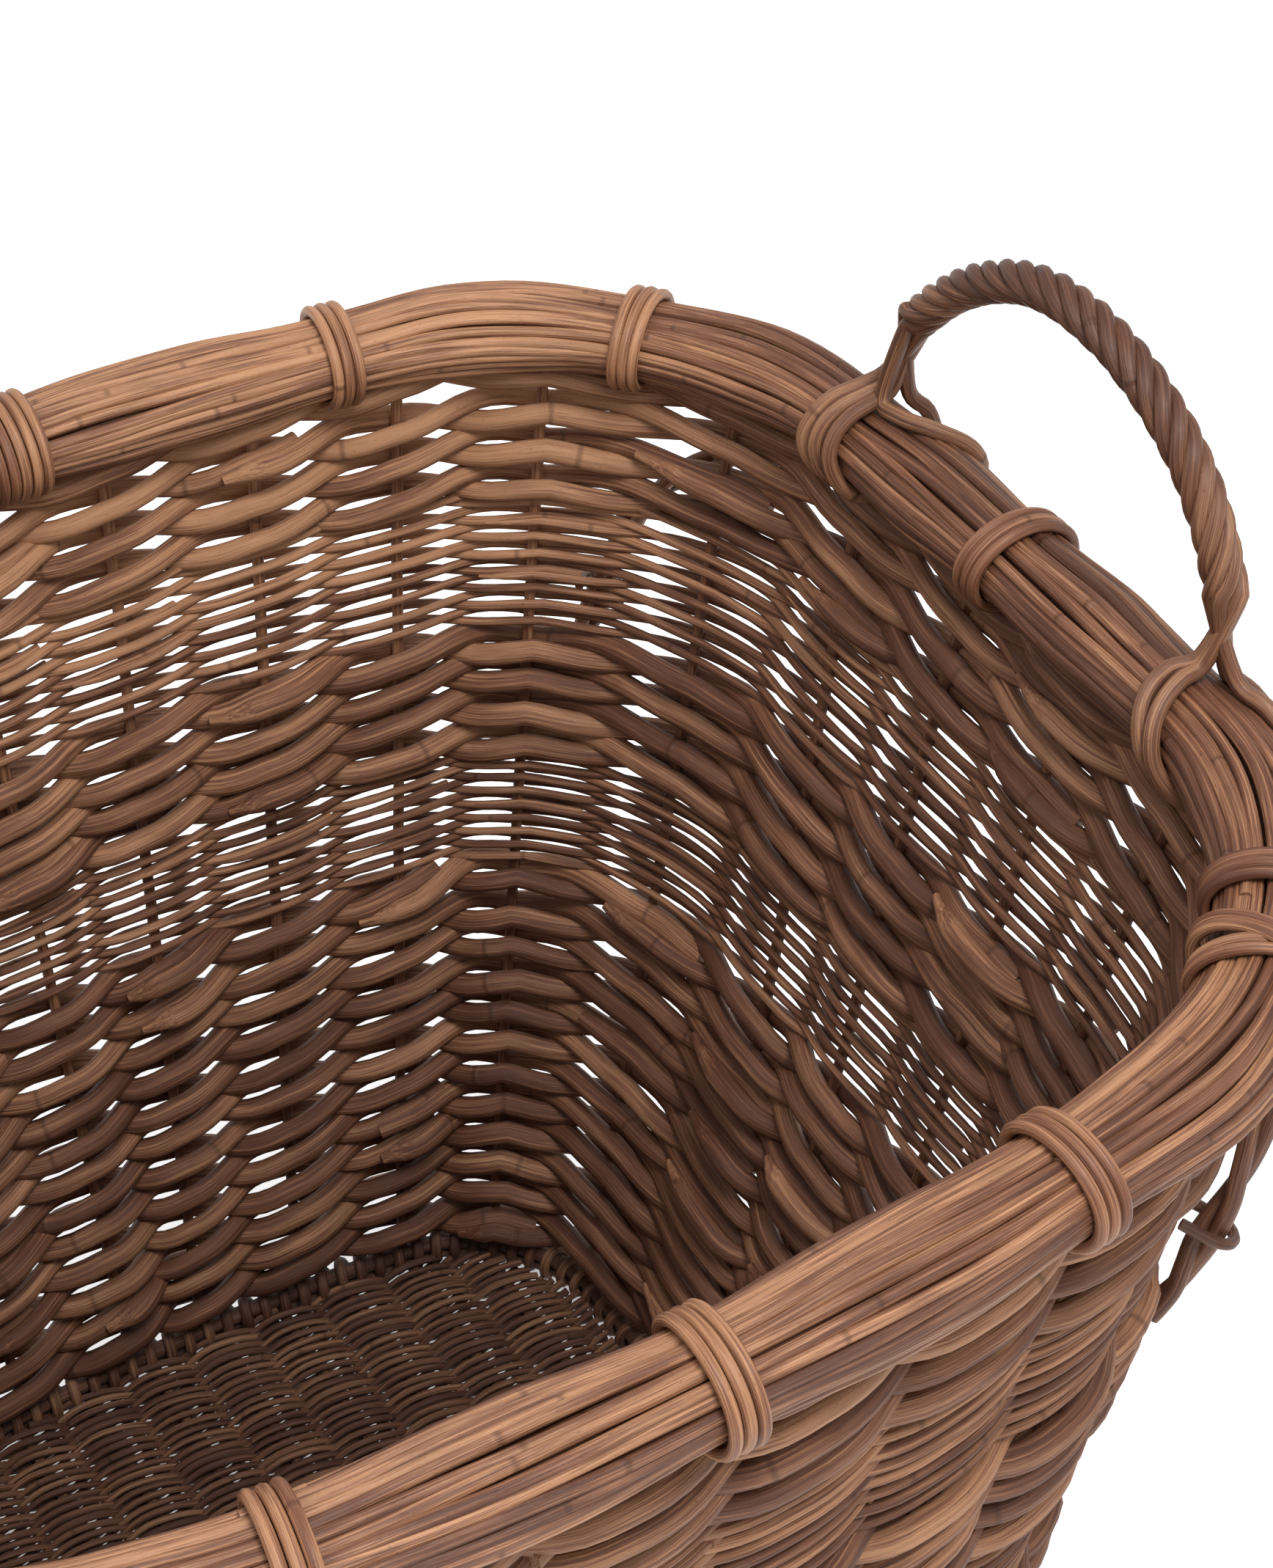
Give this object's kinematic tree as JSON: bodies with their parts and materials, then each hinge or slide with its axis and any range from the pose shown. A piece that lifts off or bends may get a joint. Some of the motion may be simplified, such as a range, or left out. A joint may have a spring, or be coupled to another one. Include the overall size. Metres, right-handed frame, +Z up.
{
  "type": "laundry basket",
  "caption": "Large open-top laundry basket of twined rattan cane, tapering to a flat base, with a thick cane-bundle rim and a twisted cane handle at each end.",
  "frame": {"origin": "on the floor, under the middle of the basket", "axes": "+X along the long axis towards one handle, +Y towards the side with the rim's spliced binding, +Z up"},
  "size_m": [0.5938, 0.5076, 0.5582],
  "materials": {
    "rim_cane": "dry split-free rattan, satin",
    "binding_cane": "smooth rattan peel, satin",
    "wall_cane": "unpeeled rattan, matt",
    "base_cane": "thin unpeeled rattan, matt",
    "handle_cane": "twisted rattan, satin"
  },
  "bodies": {
    "root": {"base_panel": "base_cane", "base_border": "base_cane", "weave_bottom_thick": "wall_cane", "weave_lower_open": "wall_cane", "weave_middle_thick": "wall_cane", "weave_upper_open": "wall_cane", "weave_top_thick": "wall_cane", "rim_bundle": "rim_cane", "wrap_corner_far_left": "binding_cane", "wrap_corner_far_right": "binding_cane", "wrap_corner_near_left": "binding_cane", "wrap_corner_near_right": "binding_cane", "wrap_crossed_near_right": "binding_cane", "wrap_end_left": "binding_cane", "wrap_end_right": "binding_cane", "wrap_side_far_left": "binding_cane", "wrap_side_far_right": "binding_cane", "wrap_side_near_left": "binding_cane", "wrap_side_near_middle": "binding_cane", "wrap_side_near_right": "binding_cane", "wrap_splice_far": "binding_cane", "handle_rope_right": "handle_cane", "handle_foot_far_right": "handle_cane", "handle_tail_far_right": "handle_cane", "tail_tie_1_far_right": "binding_cane", "tail_tie_2_far_right": "binding_cane", "handle_foot_near_right": "handle_cane", "handle_tail_near_right": "handle_cane", "tail_tie_1_near_right": "binding_cane", "tail_tie_2_near_right": "binding_cane", "handle_rope_left": "handle_cane", "handle_foot_far_left": "handle_cane", "handle_tail_far_left": "handle_cane", "tail_tie_1_far_left": "binding_cane", "tail_tie_2_far_left": "binding_cane", "handle_foot_near_left": "handle_cane", "handle_tail_near_left": "handle_cane", "tail_tie_1_near_left": "binding_cane", "tail_tie_2_near_left": "binding_cane"}
  },
  "joints": []
}
